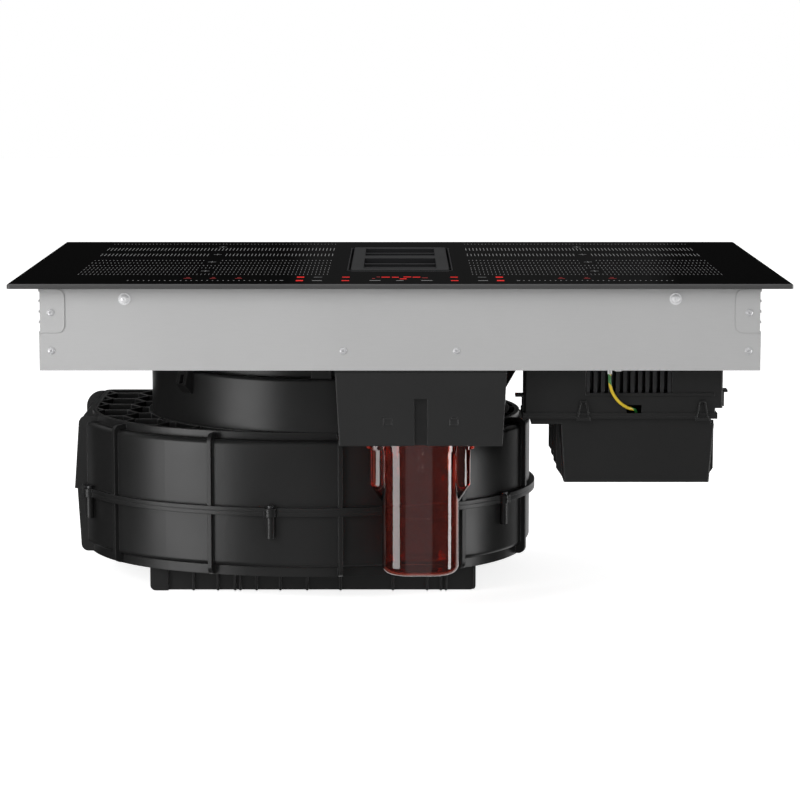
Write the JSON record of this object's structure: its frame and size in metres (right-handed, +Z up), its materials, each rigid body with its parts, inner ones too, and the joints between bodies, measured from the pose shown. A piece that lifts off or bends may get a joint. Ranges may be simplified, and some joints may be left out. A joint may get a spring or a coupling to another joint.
{
  "type": "downdraft induction cooktop",
  "caption": "Built-in glass induction cooktop with a central downdraft inlet, lift-out grease filter, under-hob fan drum and twist-off liquid cup.",
  "frame": {"origin": "centre of the worktop cut-out, on the worktop's top face, where the underside of the glass rests", "axes": "+X to the user's right along the long side, +Y away from the user, +Z up"},
  "size_m": [0.8, 0.52, 0.3603],
  "materials": {
    "ceramic_glass": "gloss",
    "grey_sheet": "satin",
    "black_plastic": "satin",
    "black_metal": "satin",
    "filter_steel": "brushed",
    "red_cup": "gloss",
    "rubber": "matte",
    "copper": "satin",
    "mica": "matte",
    "ferrite": "matte",
    "circuit_board": "satin",
    "bare_aluminium": "satin",
    "chrome": "polished",
    "bright_steel": "satin",
    "filter_fabric": "matte",
    "earth_yellow": "gloss",
    "grey_plastic": "satin"
  },
  "bodies": {
    "hob": {"glass_top": "ceramic_glass", "glass_bond": "rubber", "duct_seal": "rubber", "inlet_duct": "black_plastic", "inlet_frame": "black_metal", "casing_tray": "grey_sheet", "front_panel": "grey_sheet", "side_plates": "grey_sheet", "casing_screws": "bright_steel", "bracket_screws": "chrome", "fixing_brackets": "bright_steel", "induction_coils": "copper", "mica_sheets": "mica", "ferrite_bars": "ferrite", "coil_carriers": "bare_aluminium", "temperature_sensors": "grey_plastic", "power_boards": "circuit_board", "power_heat_sinks": "bare_aluminium", "power_capacitors": "black_plastic", "fan_frames": "black_plastic", "touch_tray": "grey_plastic", "touch_board": "circuit_board", "terminal_box": "grey_plastic", "cable_gland": "grey_plastic", "blower_neck": "black_plastic", "neck_cover": "black_plastic", "neck_latches": "black_plastic", "neck_gussets": "black_plastic", "drum_upper": "black_plastic", "drum_lower": "black_plastic", "drum_screws": "bright_steel", "outlet_grilles": "black_plastic", "fan_motor": "bare_aluminium", "motor_mount": "bright_steel", "motor_dampers": "rubber", "odour_filter": "filter_fabric", "base_skirt": "black_plastic", "drain_pipe": "black_plastic", "collector_lid": "black_plastic", "collector_box": "black_plastic", "cup_socket": "black_plastic", "electronics_lid": "black_plastic", "control_heat_sink": "bare_aluminium", "electronics_tub": "black_plastic", "control_board": "circuit_board", "control_parts": "grey_plastic", "earth_wire": "earth_yellow", "earth_terminal": "bright_steel"},
    "grease_filter": {"grease_filter": "filter_steel", "filter_mesh": "filter_steel"},
    "inlet_grille": {"inlet_grille": "black_metal"},
    "impeller": {"impeller": "black_plastic", "motor_shaft": "bright_steel"},
    "left_cooling_fan": {"left_fan_rotor": "black_plastic"},
    "right_cooling_fan": {"right_fan_rotor": "black_plastic"},
    "drain_valve": {"drain_valve": "grey_plastic"},
    "waste_cup": {"waste_cup": "red_cup", "cup_seal": "rubber"}
  },
  "joints": [
    {"name": "filter_lift", "type": "slide", "parent": "hob", "child": "grease_filter", "axis": [0, 0, 1], "range_m": [0, 0.1]},
    {"name": "grille_lift", "type": "slide", "parent": "grease_filter", "child": "inlet_grille", "axis": [0, 0, 1], "range_m": [0, 0.06]},
    {"name": "impeller_spin", "type": "hinge", "parent": "hob", "child": "impeller", "pos_m": [-0.081, 0.09, -0.22], "axis": [0, 0, 1], "continuous": true},
    {"name": "left_fan_spin", "type": "hinge", "parent": "hob", "child": "left_cooling_fan", "pos_m": [-0.32, -0.04, -0.072], "axis": [0, 0, 1], "continuous": true},
    {"name": "right_fan_spin", "type": "hinge", "parent": "hob", "child": "right_cooling_fan", "pos_m": [0.32, -0.04, -0.072], "axis": [0, 0, 1], "continuous": true},
    {"name": "cup_turn", "type": "hinge", "parent": "hob", "child": "drain_valve", "pos_m": [0.0215, -0.181, -0.16], "axis": [0, 0, 1], "range_deg": [-40, 40]},
    {"name": "cup_drop", "type": "slide", "parent": "drain_valve", "child": "waste_cup", "axis": [0, 0, -1], "range_m": [0, 0.08]}
  ]
}
